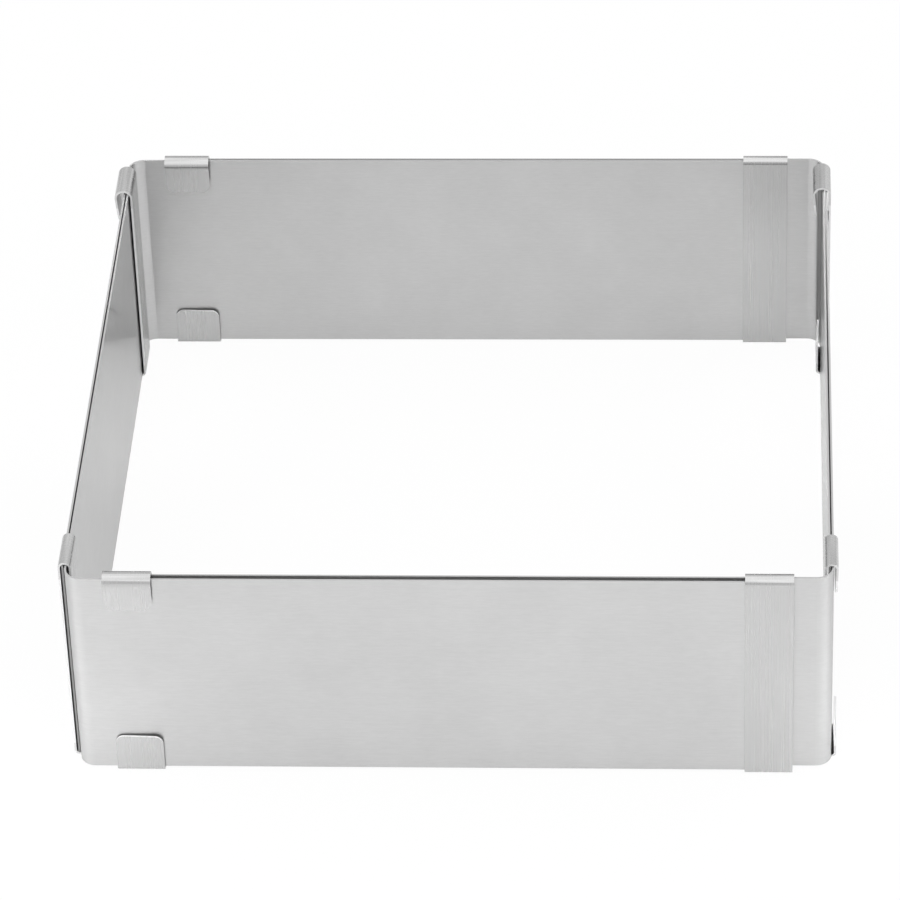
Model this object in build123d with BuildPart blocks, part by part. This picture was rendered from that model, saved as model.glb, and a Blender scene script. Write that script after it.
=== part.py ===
from build123d import *
from math import asin, atan2, degrees, hypot, sqrt
import os

# Adjustable cake frame: four bent sheet corners that overlap in pairs, like a pinwheel,
# and eight strap clips that hold the overlaps together and let them slide.
# Millimetres. The origin is on the table under the middle of the frame, +X is to the
# right along the front wall, +Y is to the back and +Z is up.

# Sheet corners
wall_height = 50.0
leg_length = 150.0
panel_thickness = 0.4
bend_radius = 3.5

# Space between the outer and the inner panel: the sheet is springy, and lies closer on some walls
front_gap = 1.05
back_gap = 0.25
side_gap = 0.3

# How far a wall is drawn out: from a panel's free end to the outside of the corner beside it
width_draw = 8.2
length_draw = 3.6

# Strap clips, along the band and over the top edge: some are pressed close and some stand open
clip_width = 10.0
clip_thickness = 0.45
band_standoff = 0.35
close_arch_clearance = 0.45
open_arch_clearance = 0.9
arch_edge_clearance = 0.1
top_tab_drop = 7.5
close_tab_clearance = 0.25
open_tab_clearance = 0.4
top_corner_radius = 2.0

# Strap clips, under the bottom edge: the tab's free end stands off more on its far side
floor_clearance = 0.15
heel_radius = 0.7
heel_clearance = 0.55
bottom_tab_height = 9.2
near_tab_clearance = 0.25
far_tab_clearance = 0.6
bottom_corner_radius = 1.8

# Weld spots between a clip's band and its own panel
weld_diameter = 2.5
weld_spacing = 30.0

# Sizes that follow
front_pitch = panel_thickness + front_gap
back_pitch = panel_thickness + back_gap
side_pitch = panel_thickness + side_gap
frame_width = leg_length + side_pitch + width_draw
frame_length = leg_length + front_pitch + length_draw
panel_bottom = clip_thickness + floor_clearance
panel_top = panel_bottom + wall_height

# In a clip's section, depth runs across the wall from the band's inner face to the tabs
own_panel_depth = band_standoff + panel_thickness
widest_held_depth = own_panel_depth + max(front_pitch, back_pitch, side_pitch)
heel_height = clip_thickness + heel_radius


def tab_lean(bend_centre, radius, tab_end):
    """Degrees that a straight tab leans in, so that it leaves its bend smoothly."""
    reach = tab_end[0] - bend_centre[0]
    run = abs(tab_end[1] - bend_centre[1])
    return degrees(asin(radius / hypot(run, reach)) - atan2(reach, run))


def make_sheet_corner(corner):
    """L-shaped sheet, with its outside along the x and y axes of the corner's plane."""
    with BuildPart() as sheet:
        with BuildSketch(corner.offset(panel_bottom)):
            with BuildLine():
                FilletPolyline((leg_length, 0), (0, 0), (0, leg_length), radius=bend_radius)
                offset(amount=panel_thickness, side=Side.RIGHT)
            make_face()
        extrude(amount=wall_height)
    return sheet.part


def bottom_tab_section(side, held_depth, end_clearance):
    """Section of the tab side's heel and bottom tab, on one side of the strap."""
    heel_centre = (held_depth + heel_clearance - heel_radius, heel_height)
    tab_end = (held_depth + end_clearance, bottom_tab_height)
    lean = tab_lean(heel_centre, heel_radius, tab_end)
    with BuildSketch(side) as section:
        with BuildLine():
            heel = CenterArc(heel_centre, heel_radius, 270, 90 + lean)
            Line(heel @ 1, tab_end)
            offset(amount=clip_thickness, side=Side.RIGHT)
        make_face()
    return section.sketch


def make_clip(near_side, pitch, is_open):
    """Strap clip for a wall of that pitch, its near side on a plane with x towards the tabs."""
    far_side = near_side.offset(-clip_width)
    held_depth = own_panel_depth + pitch
    # A close clip fits its wall, and an open one has the same shape over every wall
    if is_open:
        arch_radius = (widest_held_depth + open_arch_clearance) / 2
        top_tab_depth = widest_held_depth + open_tab_clearance
    else:
        arch_radius = (held_depth + close_arch_clearance) / 2
        top_tab_depth = held_depth + close_tab_clearance
    # The arch just clears the top edge of the band's panel
    arch_rise = sqrt(arch_radius**2 - (arch_radius - band_standoff) ** 2)
    arch_height = panel_top + arch_edge_clearance - arch_rise
    near_tab = bottom_tab_section(near_side, held_depth, near_tab_clearance)
    far_tab = bottom_tab_section(far_side, held_depth, far_tab_clearance)
    bottom_tab_depth = held_depth + (near_tab_clearance + far_tab_clearance) / 2
    bottom_tab_end = (bottom_tab_depth, bottom_tab_height)
    top_tab_end = (top_tab_depth, panel_top - top_tab_drop)
    arch_centre = (arch_radius, arch_height)
    lean = tab_lean(arch_centre, arch_radius, top_tab_end)
    band_face = Plane(near_side.origin, x_dir=-near_side.z_dir, z_dir=near_side.x_dir)
    with BuildPart() as clip:
        # Floor and heel under the wall, band, arch over the wall and top tab
        with BuildSketch(near_side):
            with BuildLine():
                floor_end = (held_depth + heel_clearance - heel_radius, clip_thickness)
                Line(floor_end, (heel_radius, clip_thickness))
                heel = CenterArc((heel_radius, heel_height), heel_radius, 270, -90)
                arch = CenterArc(arch_centre, arch_radius, 180, -180 - lean)
                Line(heel @ 1, arch @ 0)
                Line(arch @ 1, top_tab_end)
                offset(amount=clip_thickness, side=Side.LEFT)
            make_face()
        extrude(amount=-clip_width)
        # Heel and bottom tab on the tab side, twisted
        loft([near_tab, far_tab], ruled=True)
        # Rounded corners on the free ends of both tabs
        for tab_end, corner_radius in (
            (top_tab_end, top_corner_radius),
            (bottom_tab_end, bottom_corner_radius),
        ):
            depth, height = tab_end
            end_middle = (depth + clip_thickness / 2, height, -clip_width / 2)
            end_face = clip.faces().sort_by_distance(near_side.from_local_coords(end_middle))[0]
            fillet(end_face.edges().sort_by(SortBy.LENGTH)[:2], corner_radius)
        # Weld spots that reach the clip's own panel
        with BuildSketch(band_face):
            with Locations((clip_width / 2, panel_bottom + wall_height / 2)):
                with GridLocations(0, weld_spacing, 1, 2):
                    Circle(weld_diameter / 2)
        extrude(amount=band_standoff)
    return clip.part


os.makedirs("parts", exist_ok=True)

# Corner planes stand on the table, with x along the outer leg and y along the inner leg
half_width = frame_width / 2
half_length = frame_length / 2
corners = {
    "front_left": Plane((side_pitch - half_width, -half_length), x_dir=(1, 0, 0)),
    "front_right": Plane((half_width, front_pitch - half_length), x_dir=(0, 1, 0)),
    "back_right": Plane((half_width - side_pitch, half_length), x_dir=(-1, 0, 0)),
    "back_left": Plane((-half_width, half_length - back_pitch), x_dir=(0, -1, 0)),
}

# Clip at the end of each corner's outer leg, then of its inner leg, and the pitch of its wall
clips = {
    "front_left": (("front_wall_right_clip", front_pitch), ("left_wall_back_clip", side_pitch)),
    "front_right": (("right_wall_back_clip", side_pitch), ("front_wall_left_clip", front_pitch)),
    "back_right": (("back_wall_left_clip", back_pitch), ("right_wall_front_clip", side_pitch)),
    "back_left": (("left_wall_front_clip", side_pitch), ("back_wall_right_clip", back_pitch)),
}
open_clips = (
    "front_wall_left_clip",
    "right_wall_back_clip",
    "back_wall_left_clip",
    "left_wall_back_clip",
)

for name, corner in corners.items():
    outer_clip_at = corner.from_local_coords((leg_length, -band_standoff, 0))
    inner_clip_at = corner.from_local_coords((own_panel_depth, leg_length, 0))
    outer_side = Plane(outer_clip_at, x_dir=corner.y_dir, z_dir=corner.x_dir)
    inner_side = Plane(inner_clip_at, x_dir=-corner.x_dir, z_dir=corner.y_dir)
    (outer_clip_name, outer_pitch), (inner_clip_name, inner_pitch) = clips[name]
    pieces = {
        name + "_corner": make_sheet_corner(corner),
        outer_clip_name: make_clip(outer_side, outer_pitch, outer_clip_name in open_clips),
        inner_clip_name: make_clip(inner_side, inner_pitch, inner_clip_name in open_clips),
    }
    for piece_name, piece in pieces.items():
        piece.label = piece_name
        export_step(piece, f"parts/{piece_name}.step")
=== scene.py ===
import math

import bpy
from mathutils import Matrix, Vector

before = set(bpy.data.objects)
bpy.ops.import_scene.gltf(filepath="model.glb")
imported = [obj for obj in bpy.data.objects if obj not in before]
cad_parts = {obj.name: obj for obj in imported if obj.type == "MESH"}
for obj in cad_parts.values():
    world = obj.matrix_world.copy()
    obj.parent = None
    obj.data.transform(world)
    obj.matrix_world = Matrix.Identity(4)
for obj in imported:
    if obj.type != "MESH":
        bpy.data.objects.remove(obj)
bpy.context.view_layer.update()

# Looks, light and camera for an adjustable cake frame of brushed stainless steel.
# Metres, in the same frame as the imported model.

X, Y, Z = range(3)

# The two kinds of steel. Tones are linear reflectance: of the brushed faces, of the sheared sides
# (a sheet's rims or a strap's two sides) and of the sheared free ends. The sheared tones are
# partly
# painted light: a strap's sides and tab ends are pale as a painted highlight, and a sheet's free
# ends dark as painted shade. Grain is in cycles per metre, across the scratches and along them.
# Contrasts are shares, either way.
SHEET = {
    "tone": 0.64,
    "side_tone_partly_painted": 0.45,
    # Painted shade: the sheets' free ends are dark to stand in for the shade on them
    "painted_end_tone": 0.28,
    "roughness": 0.33,
    "roughness_contrast": 0.15,
    "grain": (2400.0, 30.0),
    "grain_contrast": 0.015,
    "fine_grain": (3000.0, 420.0),
    "fine_contrast": 0.03,
    "bump": 0.35,
}
STRAP = {
    "tone": 0.57,
    # Painted highlight: the sides and tab ends are pale to stand in for light caught on their
    # rounded edges
    "side_tone_partly_painted": 0.72,
    "painted_end_tone": 0.9,
    "roughness": 0.27,
    "roughness_contrast": 0.06,
    "grain": (1700.0, 8.0),
    "grain_contrast": 0.0075,
    "fine_grain": (1900.0, 800.0),
    "fine_contrast": 0.015,
    "bump": 0.15,
}

# Both kinds of steel
GRAZING_TINT = 0.7
ANISOTROPY = 0.9
GLAZE = 0.6
GLAZE_ROUGHNESS = 0.05
SHEARED_ROUGHNESS = 0.85
SCRATCH_DEPTH = 0.000004
BLOTCHES = 70.0
BLOTCH_CONTRAST = 0.025
NOISE_ROUGHNESS = 0.6

# The tangent leans a little, so that it never vanishes on a face that looks across the scratches
TANGENT_LEAN = 0.02

# Straight ridges on the straps: their pitch, their contrast, and how often in a metre and by how
# many radians they drift from an even spacing
RIDGE_PITCH = 0.00062
RIDGE_CONTRAST = 0.011
RIDGE_DRIFTS = 300.0
RIDGE_DRIFT = 3.0

# Scuffs in place of the ridges on the straps' rolled arches: cycles per metre along the wall and
# round the arch, contrast, and the heights between which they fade in
SCUFF_GRAIN = (40.0, 1100.0)
SCUFF_CONTRAST = 0.25
ROLLED_FROM = 0.0499
ROLLED_ABOVE = 0.0507

# Cosines between a face's normal and an axis: above the first two the face is a sheared side or
# a sheet's end, and below the last, from the axis across the wall, it is the end of a tab
SIDE_FACING = 0.9
SHEET_END_FACING = 0.95
TAB_END_FACING = 0.35

# Beyond these distances from the middle, a sheet has only free ends that look along the walls
ENDS_BEYOND_X = 0.078
ENDS_BEYOND_Y = 0.0754

# Heights that a strap's tabs end between
TABS_FROM = 0.003
TABS_TO = 0.047

# Walls that run along X, so that Y is the axis across them
WALLS_ALONG_X = ("front_wall", "back_wall")


def nodes_of(owner):
    """Empty node tree of a material or world."""
    owner.use_nodes = True
    tree = owner.node_tree
    tree.nodes.clear()
    return tree


def add(tree, kind, **settings):
    """New node of a kind, with settings such as a Math node's operation."""
    node = tree.nodes.new(kind)
    for name, value in settings.items():
        setattr(node, name, value)
    return node


def feed(tree, socket, value):
    """Set a socket to a number, or link an output to it."""
    if isinstance(value, (int, float)):
        socket.default_value = value
    else:
        tree.links.new(value, socket)


def maths(tree, operation, a, b=0.0):
    """Result of a Math node on numbers or outputs."""
    node = add(tree, "ShaderNodeMath", operation=operation)
    for socket, value in zip(node.inputs, (a, b)):
        feed(tree, socket, value)
    return node.outputs[0]


def mixed(tree, factor, a, b):
    """Number that goes from a to b as the factor goes from 0 to 1."""
    node = add(tree, "ShaderNodeMix", data_type="FLOAT")
    for index, value in ((0, factor), (2, a), (3, b)):
        feed(tree, node.inputs[index], value)
    return node.outputs[0]


def split(tree, vector):
    """The three coordinates of a vector."""
    node = add(tree, "ShaderNodeSeparateXYZ")
    tree.links.new(vector, node.inputs[0])
    return list(node.outputs)


def scaled(tree, value, low, high, start=0.25, end=0.75):
    """Value from start to end spread over low to high. Most noise lies between the defaults."""
    node = add(tree, "ShaderNodeMapRange", clamp=True)
    settings = {"Value": value, "From Min": start, "From Max": end, "To Min": low, "To Max": high}
    for name, setting in settings.items():
        feed(tree, node.inputs[name], setting)
    return node.outputs["Result"]


def varied(tree, value, middle, contrast):
    """Noise as a number about the middle, by a share of it either way."""
    return scaled(tree, value, middle * (1 - contrast), middle * (1 + contrast))


def by_axis(special_axis, special, other):
    """A number for each axis, which is special on one of them."""
    return [special if axis == special_axis else other for axis in (X, Y, Z)]


def noise(tree, place, scale, detail=2.0):
    """Value noise about 0.5, with a frequency per metre along each axis."""
    mapping = add(tree, "ShaderNodeMapping")
    mapping.inputs["Scale"].default_value = scale
    tree.links.new(place, mapping.inputs["Vector"])
    texture = add(tree, "ShaderNodeTexNoise")
    texture.inputs["Scale"].default_value = 1.0
    texture.inputs["Detail"].default_value = detail
    texture.inputs["Roughness"].default_value = NOISE_ROUGHNESS
    tree.links.new(mapping.outputs["Vector"], texture.inputs["Vector"])
    return texture.outputs["Fac"]


def strap_marks(tree, place, spot, fine_axis):
    """Shade of the ridges on a strap's flat stretches and of the scuffs on its rolled arch."""
    phase = maths(tree, "MULTIPLY", spot[fine_axis], 2 * math.pi / RIDGE_PITCH)
    drift = noise(tree, place, by_axis(fine_axis, RIDGE_DRIFTS, 1.0), detail=0.0)
    drifted = maths(tree, "ADD", phase, maths(tree, "MULTIPLY", drift, RIDGE_DRIFT))
    ridges = maths(tree, "MULTIPLY", maths(tree, "SINE", drifted), RIDGE_CONTRAST)
    scuffs = noise(tree, place, by_axis(fine_axis, *SCUFF_GRAIN), detail=1.0)
    on_arch = scaled(tree, spot[Z], 0.0, 1.0, ROLLED_FROM, ROLLED_ABOVE)
    return mixed(
        tree, on_arch, maths(tree, "ADD", ridges, 1.0), varied(tree, scuffs, 1.0, SCUFF_CONTRAST)
    )


def sheet_ends(tree, spot, facing):
    """Mask of a sheet's free ends, which look along its walls."""
    masks = []
    for along, across, beyond in ((X, Y, ENDS_BEYOND_Y), (Y, X, ENDS_BEYOND_X)):
        looks_along = maths(tree, "GREATER_THAN", facing[along], SHEET_END_FACING)
        is_outside = maths(tree, "GREATER_THAN", maths(tree, "ABSOLUTE", spot[across]), beyond)
        masks.append(maths(tree, "MULTIPLY", looks_along, is_outside))
    return maths(tree, "MAXIMUM", *masks)


def tab_ends(tree, spot, facing, wall_axis):
    """Mask of the free ends of a strap's tabs, with their rounded corners."""
    above = maths(tree, "GREATER_THAN", spot[Z], TABS_FROM)
    below = maths(tree, "LESS_THAN", spot[Z], TABS_TO)
    looks_away = maths(tree, "LESS_THAN", facing[wall_axis], TAB_END_FACING)
    return maths(tree, "MULTIPLY", looks_away, maths(tree, "MULTIPLY", above, below))


def brushed_steel(name, steel, fine_axis, wall_axis=None):
    """Brushed steel whose scratches are fine along an axis, with plain sheared sides and ends,
    whose
    tones are partly painted light: a pale painted highlight on a strap, painted shade on a
    sheet's free ends.

    The sheared sides look along the same axis. Only a strap has a wall_axis, which is the axis
    across the wall that it sits on."""
    material = bpy.data.materials.new(name)
    tree = nodes_of(material)
    place = add(tree, "ShaderNodeTexCoord").outputs["Object"]
    normal = add(tree, "ShaderNodeNewGeometry").outputs["Normal"]
    spot = split(tree, place)
    facing = [maths(tree, "ABSOLUTE", coordinate) for coordinate in split(tree, normal)]

    grain = noise(tree, place, by_axis(fine_axis, *steel["grain"]))
    fine_grain = noise(tree, place, by_axis(fine_axis, *steel["fine_grain"]))
    blotches = noise(tree, place, [BLOTCHES] * 3)
    shades = [
        varied(tree, grain, 1.0, steel["grain_contrast"]),
        varied(tree, fine_grain, 1.0, steel["fine_contrast"]),
        varied(tree, blotches, 1.0, BLOTCH_CONTRAST),
    ]
    if wall_axis is None:
        is_end = sheet_ends(tree, spot, facing)
    else:
        is_end = tab_ends(tree, spot, facing, wall_axis)
        shades.append(strap_marks(tree, place, spot, fine_axis))
    is_side = maths(tree, "GREATER_THAN", facing[fine_axis], SIDE_FACING)
    is_sheared = maths(tree, "MAXIMUM", is_side, is_end)

    face_tone = shades[0]
    for factor in [*shades[1:], steel["tone"]]:
        face_tone = maths(tree, "MULTIPLY", face_tone, factor)
    # Painted light: the sheared tones stand in for a highlight on the straps' sides and tab ends
    # and for shade on the sheets' free ends
    sheared_tone_with_painted_light = mixed(tree, is_end, steel["side_tone_partly_painted"], steel["painted_end_tone"])
    tone = mixed(tree, is_sheared, face_tone, sheared_tone_with_painted_light)
    colour = add(tree, "ShaderNodeCombineColor")
    for socket in colour.inputs[:3]:
        tree.links.new(tone, socket)

    face_roughness = varied(tree, grain, steel["roughness"], steel["roughness_contrast"])
    roughness = mixed(tree, is_sheared, face_roughness, SHEARED_ROUGHNESS)

    bump = add(tree, "ShaderNodeBump")
    bump.inputs["Strength"].default_value = steel["bump"]
    bump.inputs["Distance"].default_value = SCRATCH_DEPTH
    tree.links.new(grain, bump.inputs["Height"])

    # The lobe is long across the scratches
    tangent = add(tree, "ShaderNodeCombineXYZ")
    for socket, share in zip(tangent.inputs, by_axis(fine_axis, 1.0, TANGENT_LEAN)):
        socket.default_value = share

    shader = add(tree, "ShaderNodeBsdfPrincipled")
    shader.inputs["Anisotropic"].default_value = ANISOTROPY
    shader.inputs["Specular Tint"].default_value = (GRAZING_TINT, GRAZING_TINT, GRAZING_TINT, 1)
    shader.inputs["Coat Weight"].default_value = GLAZE
    shader.inputs["Coat Roughness"].default_value = GLAZE_ROUGHNESS
    tree.links.new(colour.outputs[0], shader.inputs["Base Color"])
    # Sheared metal is torn and dull, and scatters light like a pale matt surface. Its tones are
    # partly painted light: a pale painted highlight on the straps, dark painted shade on the
    # sheets' free ends.
    tree.links.new(maths(tree, "SUBTRACT", 1.0, is_sheared), shader.inputs["Metallic"])
    tree.links.new(roughness, shader.inputs["Roughness"])
    tree.links.new(bump.outputs["Normal"], shader.inputs["Normal"])
    tree.links.new(tangent.outputs[0], shader.inputs["Tangent"])
    output = add(tree, "ShaderNodeOutputMaterial")
    tree.links.new(shader.outputs[0], output.inputs["Surface"])
    return material


# The sheets are brushed level along the walls, and the straps up one side and down the other
sheet_steel = brushed_steel("sheet_steel_brushed", SHEET, fine_axis=Z)
strap_steel_x = brushed_steel("strap_steel_front_back", STRAP, fine_axis=X, wall_axis=Y)
strap_steel_y = brushed_steel("strap_steel_sides", STRAP, fine_axis=Y, wall_axis=X)

for name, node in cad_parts.items():
    if name.endswith("_corner"):
        steel = sheet_steel
    elif name.startswith(WALLS_ALONG_X):
        steel = strap_steel_x
    else:
        steel = strap_steel_y
    node.data.materials.clear()
    node.data.materials.append(steel)


# Floor: pale and matt, shown near white, with the object's soft shadow
FLOOR_SIZE = 6.0
FLOOR_ALBEDO = 0.9
WHITE_TO_CAMERA = 0.95
WHITE_TO_GLOSS = 0.3

half = FLOOR_SIZE / 2
floor_mesh = bpy.data.meshes.new("floor")
floor_mesh.from_pydata(
    [(-half, -half, 0), (half, -half, 0), (half, half, 0), (-half, half, 0)], [], [(0, 1, 2, 3)]
)
floor = bpy.data.objects.new("floor", floor_mesh)
bpy.context.scene.collection.objects.link(floor)

floor_material = bpy.data.materials.new("pale_floor")
tree = nodes_of(floor_material)
rays = add(tree, "ShaderNodeLightPath")
shown = maths(tree, "MULTIPLY", rays.outputs["Is Camera Ray"], WHITE_TO_CAMERA)
through = maths(tree, "MULTIPLY", rays.outputs["Is Transmission Ray"], WHITE_TO_CAMERA)
mirrored = maths(tree, "MULTIPLY", rays.outputs["Is Glossy Ray"], WHITE_TO_GLOSS)
white_share = maths(tree, "ADD", maths(tree, "ADD", shown, through), mirrored)
paint = add(tree, "ShaderNodeBsdfDiffuse")
paint.inputs["Color"].default_value = (FLOOR_ALBEDO, FLOOR_ALBEDO, FLOOR_ALBEDO, 1)
white = add(tree, "ShaderNodeEmission")
white.inputs["Color"].default_value = (1, 1, 1, 1)
white.inputs["Strength"].default_value = 1.0
mix = add(tree, "ShaderNodeMixShader")
tree.links.new(white_share, mix.inputs[0])
tree.links.new(paint.outputs[0], mix.inputs[1])
tree.links.new(white.outputs[0], mix.inputs[2])
tree.links.new(mix.outputs[0], add(tree, "ShaderNodeOutputMaterial").inputs["Surface"])
floor_mesh.materials.append(floor_material)


# World: plain white, and a little darker behind the object where steel mirrors it
DIM_BEHIND = 0.3
BEHIND_FROM = 0.85

world = bpy.data.worlds.new("studio")
bpy.context.scene.world = world
tree = nodes_of(world)
rays = add(tree, "ShaderNodeLightPath")
direction = split(tree, add(tree, "ShaderNodeTexCoord").outputs["Generated"])
behind = maths(tree, "MAXIMUM", maths(tree, "SUBTRACT", direction[Y], BEHIND_FROM), 0.0)
behind = maths(tree, "DIVIDE", behind, 1.0 - BEHIND_FROM)
mirrored = maths(tree, "MULTIPLY", behind, rays.outputs["Is Glossy Ray"])
dimmed = maths(tree, "MULTIPLY", mirrored, DIM_BEHIND)
background = add(tree, "ShaderNodeBackground")
tree.links.new(maths(tree, "SUBTRACT", 1.0, dimmed), background.inputs["Strength"])
tree.links.new(background.outputs[0], add(tree, "ShaderNodeOutputWorld").inputs["Surface"])


def aimed_lamp(name, kind, place, target, watts):
    """Lamp that looks at a target, and that the camera doesn't see."""
    data = bpy.data.lights.new(name, kind)
    data.energy = watts
    lamp = bpy.data.objects.new(name, data)
    bpy.context.scene.collection.objects.link(lamp)
    lamp.location = place
    lamp.rotation_euler = (Vector(target) - Vector(place)).to_track_quat("-Z", "Y").to_euler()
    lamp.visible_camera = False
    return lamp


# Softboxes: place, width and height, and power in watts
OBJECT_MIDDLE = (0.0, 0.0, 0.025)

for name, place, size, watts in (
    ("key_left", (-1.0, -0.7, 0.5), (0.45, 0.8), 1.2),
    ("key_right", (1.05, -0.6, 0.45), (0.3, 0.7), 0.7),
    ("overhead", (0.0, -0.2, 1.2), (2.4, 2.4), 9.6),
):
    lamp = aimed_lamp(name, "AREA", place, OBJECT_MIDDLE, watts)
    lamp.data.shape = "RECTANGLE"
    lamp.data.size, lamp.data.size_y = size

# Soft pools of light on the floor, which the bends beside them mirror: place and target of the
# lamp, width of its beam in degrees, and power in watts
POOL_LAMP_RADIUS = 0.03

for name, place, target, degrees, watts in (
    ("pool_front", (0.0, -0.5, 0.7), (0.0, -0.105, 0.0), 18.0, 3.2),
    ("pool_left", (-0.35, -0.3, 0.6), (-0.102, -0.1, 0.0), 6.5, 17.0),
    ("pool_right", (0.35, -0.3, 0.6), (0.108, -0.09, 0.0), 5.5, 20.0),
    ("pool_inside_left", (-0.05, 0.05, 0.6), (-0.079, 0.05, 0.0), 3.5, 13.0),
    ("pool_inside_right", (0.05, 0.045, 0.6), (0.08, 0.045, 0.0), 3.5, 15.0),
):
    lamp = aimed_lamp(name, "SPOT", place, target, watts)
    lamp.data.spot_size = math.radians(degrees)
    lamp.data.spot_blend = 1.0
    lamp.data.shadow_soft_size = POOL_LAMP_RADIUS
    lamp.visible_glossy = False


# Camera at the photograph's viewing angle. The focal length and principal point are in pixels of
# the photograph, the sensor in millimetres and the rest in metres and radians.
IMAGE = 900
FOCAL_PIXELS = 5338.0
SENSOR = 36.0
PITCH = math.radians(36.875)
YAW = math.radians(3.943)
ROLL = math.radians(-2.181)
CAMERA_AT = (0.0611, -0.932555, 0.72701)
PRINCIPAL = (450.8, 450.0)
NEAREST = 0.01
FARTHEST = 20.0

turn = Matrix.Rotation(YAW, 3, "Z")
forward = turn @ Vector((0, math.cos(PITCH), -math.sin(PITCH)))
level = turn @ Vector((1, 0, 0))
upward = turn @ Vector((0, math.sin(PITCH), math.cos(PITCH)))
right = math.cos(ROLL) * level + math.sin(ROLL) * upward
up = math.cos(ROLL) * upward - math.sin(ROLL) * level

camera_data = bpy.data.cameras.new("camera")
camera_data.sensor_fit = "HORIZONTAL"
camera_data.sensor_width = SENSOR
camera_data.lens = FOCAL_PIXELS / IMAGE * SENSOR
camera_data.shift_x = (IMAGE / 2 - PRINCIPAL[X]) / IMAGE
camera_data.shift_y = (PRINCIPAL[Y] - IMAGE / 2) / IMAGE
camera_data.clip_start = NEAREST
camera_data.clip_end = FARTHEST
camera = bpy.data.objects.new("camera", camera_data)
bpy.context.scene.collection.objects.link(camera)
axes = Matrix((right, up, -forward)).transposed().to_4x4()
camera.matrix_world = Matrix.Translation(CAMERA_AT) @ axes
bpy.context.scene.camera = camera

bpy.context.scene.view_settings.view_transform = "Standard"
